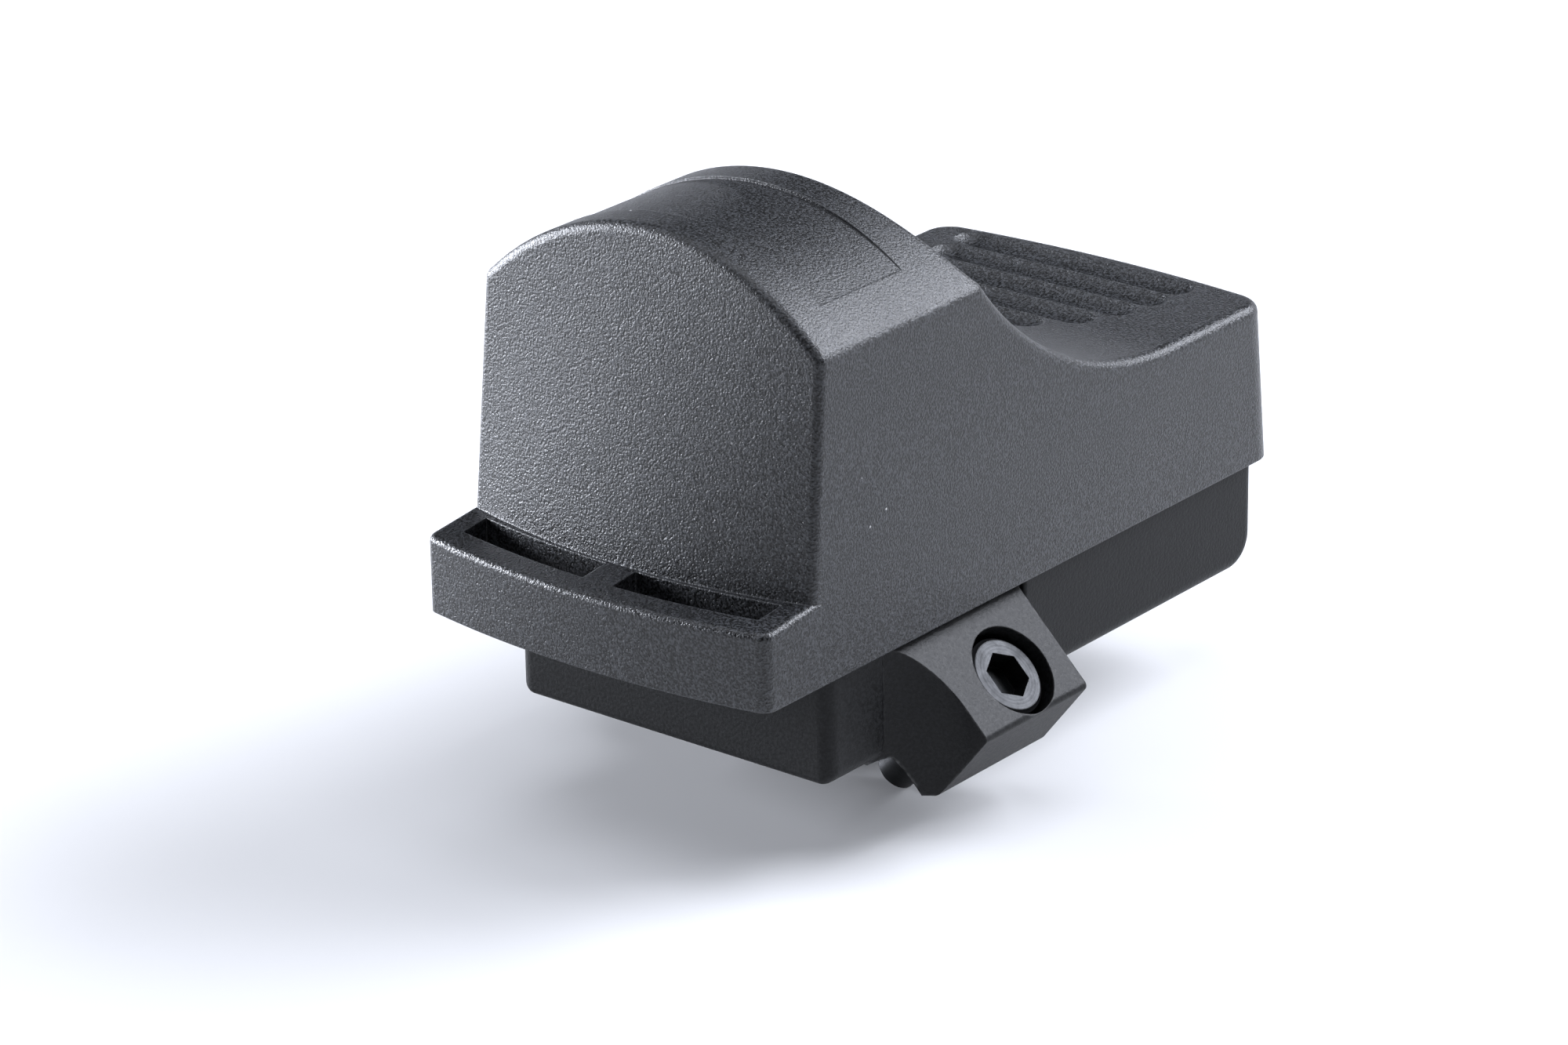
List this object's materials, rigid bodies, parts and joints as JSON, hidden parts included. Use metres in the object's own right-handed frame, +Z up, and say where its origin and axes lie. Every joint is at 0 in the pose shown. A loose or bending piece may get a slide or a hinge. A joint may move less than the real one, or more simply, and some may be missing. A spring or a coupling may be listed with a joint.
{
  "type": "finder scope",
  "caption": "Small reflex finder sight for a telescope under a lift-off plastic cover, on a low metal base with a 45-degree cross-bolted ear on each side.",
  "frame": {"origin": "centre of the base's flat underside, on the sight's symmetry plane", "axes": "+Z up from the host, -Y the way the hood faces, +Y towards the eye, +X to the right seen from the front"},
  "size_m": [0.0364, 0.0565, 0.0408],
  "materials": {
    "cover_plastic": "fine spark-eroded grain, semi-matt",
    "magnet": "nickel plated",
    "base_paint": "satin black, finely cast texture",
    "screw_steel": "dark zinc, slightly worn",
    "washer_steel": "plain zinc",
    "black_rubber": "matt",
    "housing_black": "hard anodised, matt",
    "pin_steel": "ground",
    "lens_glass": "red reflecting coating",
    "clear_glass": "clear",
    "clear_plastic": "clear moulded",
    "board_green": "solder resist",
    "chip_black": "moulded epoxy",
    "cell_steel": "nickel plated",
    "contact_bronze": "gold flashed",
    "carriage_brass": "machined",
    "block_aluminium": "machined",
    "diode_epoxy": "tinted epoxy",
    "flex_amber": "polyimide film",
    "spring_steel": "drawn wire"
  },
  "bodies": {
    "sight_body": {"mount_base": "base_paint", "base_gasket": "black_rubber", "sight_housing": "housing_black", "housing_screws": "screw_steel", "locating_pins": "pin_steel", "lens": "lens_glass", "lens_gasket": "black_rubber", "lens_retainer": "housing_black", "emitter_window": "clear_glass", "light_guide": "clear_plastic", "circuit_board": "board_green", "board_screws": "screw_steel", "controller_chip": "chip_black", "reed_switch": "clear_glass", "light_sensor": "clear_plastic", "battery": "cell_steel", "battery_spring_contact": "contact_bronze", "battery_ground_contact": "contact_bronze", "windage_seal": "black_rubber", "lock_screws": "screw_steel"},
    "cover": {"protective_cover": "cover_plastic", "cover_magnet": "magnet"},
    "near_washer": {"ear_washer_near": "washer_steel"},
    "near_screw": {"ear_screw_near": "screw_steel"},
    "far_washer": {"ear_washer_far": "washer_steel"},
    "far_screw": {"ear_screw_far": "screw_steel"},
    "windage_knob": {"windage_screw": "screw_steel"},
    "carriage": {"windage_carriage": "carriage_brass", "windage_spring": "spring_steel", "elevation_spring": "spring_steel"},
    "elevation_knob": {"elevation_screw": "screw_steel"},
    "emitter": {"emitter_block": "block_aluminium", "emitter_diode": "diode_epoxy", "emitter_flex": "flex_amber"}
  },
  "joints": [
    {"name": "cover_lift", "type": "slide", "parent": "sight_body", "child": "cover", "axis": [0, 0, 1], "range_m": [0, 0.045]},
    {"name": "windage_turn", "type": "hinge", "parent": "sight_body", "child": "windage_knob", "pos_m": [0.0105, 0.0142, 0.0123], "axis": [1, 0, 0], "range_deg": [-450, 450]},
    {"name": "windage_travel", "type": "slide", "parent": "sight_body", "child": "carriage", "axis": [1, 0, 0], "range_m": [-0.0005, 0.0005]},
    {"name": "elevation_turn", "type": "hinge", "parent": "carriage", "child": "elevation_knob", "pos_m": [0, 0.0139, 0.01505], "axis": [0, 0, 1], "range_deg": [-315, 315]},
    {"name": "elevation_travel", "type": "slide", "parent": "carriage", "child": "emitter", "axis": [0, 0, 1], "range_m": [-0.00035, 0.00035], "deforming": ["elevation_spring"]},
    {"name": "near_screw_travel", "type": "slide", "parent": "sight_body", "child": "near_washer", "axis": [0.7071, 0, 0.7071], "range_m": [0, 0.005]},
    {"name": "near_screw_turn", "type": "hinge", "parent": "near_washer", "child": "near_screw", "pos_m": [0.0161, -0.00865, 0.00395], "axis": [0.7071, 0, 0.7071], "range_deg": [0, 3600]},
    {"name": "far_screw_travel", "type": "slide", "parent": "sight_body", "child": "far_washer", "axis": [-0.7071, 0, 0.7071], "range_m": [0, 0.005]},
    {"name": "far_screw_turn", "type": "hinge", "parent": "far_washer", "child": "far_screw", "pos_m": [-0.0161, -0.00865, 0.00395], "axis": [-0.7071, 0, 0.7071], "range_deg": [0, 3600]}
  ],
  "couplings": [
    {"joint": "windage_turn", "follows": "windage_travel", "rad_per_m": -15706},
    {"joint": "elevation_turn", "follows": "elevation_travel", "rad_per_m": -15706},
    {"joint": "near_screw_turn", "follows": "near_screw_travel", "rad_per_m": 12565},
    {"joint": "far_screw_turn", "follows": "far_screw_travel", "rad_per_m": 12565}
  ]
}
